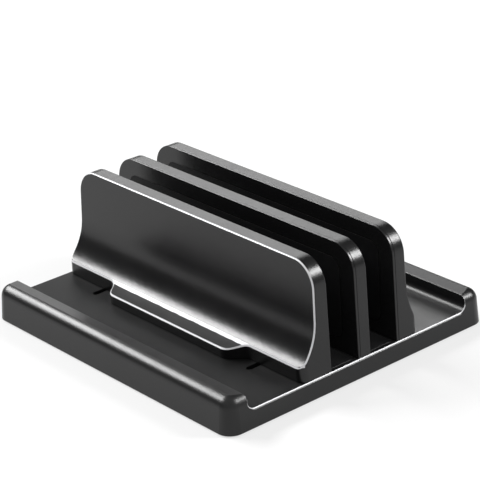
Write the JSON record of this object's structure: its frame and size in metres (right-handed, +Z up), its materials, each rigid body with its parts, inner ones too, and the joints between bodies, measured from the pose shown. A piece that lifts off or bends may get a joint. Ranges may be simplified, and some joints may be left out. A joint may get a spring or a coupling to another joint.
{
  "type": "vertical laptop stand",
  "caption": "Desk stand that holds closed laptops upright between sliding walls, on a tray with a phone shelf in front and a tablet shelf behind.",
  "frame": {"origin": "on the desk, under the middle of the tray", "axes": "+X along the walls, -Y towards the phone shelf in front, +Z up"},
  "size_m": [0.2, 0.181, 0.0723],
  "materials": {
    "tray_plastic": "fine satin texture",
    "wall_plastic": "fine satin texture",
    "pad_silicone": "matt",
    "foot_silicone": "matt",
    "screw_steel": "zinc plated",
    "insert_brass": "turned"
  },
  "bodies": {
    "base": {"base_tray": "tray_plastic", "front_floor_pad": "pad_silicone", "rear_floor_pad": "pad_silicone", "foot_front_left": "foot_silicone", "foot_rear_left": "foot_silicone", "foot_front_right": "foot_silicone", "foot_rear_right": "foot_silicone", "middle_wall_body": "wall_plastic", "middle_wall_panel": "wall_plastic", "middle_wall_front_pad": "pad_silicone", "middle_wall_rear_pad": "pad_silicone", "middle_wall_screws": "screw_steel"},
    "front_wall": {"front_wall_body": "wall_plastic", "front_wall_cover": "wall_plastic", "front_wall_pad": "pad_silicone", "front_wall_inserts": "insert_brass", "front_wall_screws": "screw_steel", "front_wall_washers": "screw_steel"},
    "rear_wall": {"rear_wall_body": "wall_plastic", "rear_wall_panel": "wall_plastic", "rear_wall_pad": "pad_silicone", "rear_wall_inserts": "insert_brass", "rear_wall_screws": "screw_steel", "rear_wall_washers": "screw_steel"}
  },
  "joints": [
    {"name": "front_wall_slide", "type": "slide", "parent": "base", "child": "front_wall", "axis": [0, 1, 0], "range_m": [-0.016, 0.0046]},
    {"name": "rear_wall_slide", "type": "slide", "parent": "base", "child": "rear_wall", "axis": [0, 1, 0], "range_m": [-0.0046, 0.016]}
  ]
}
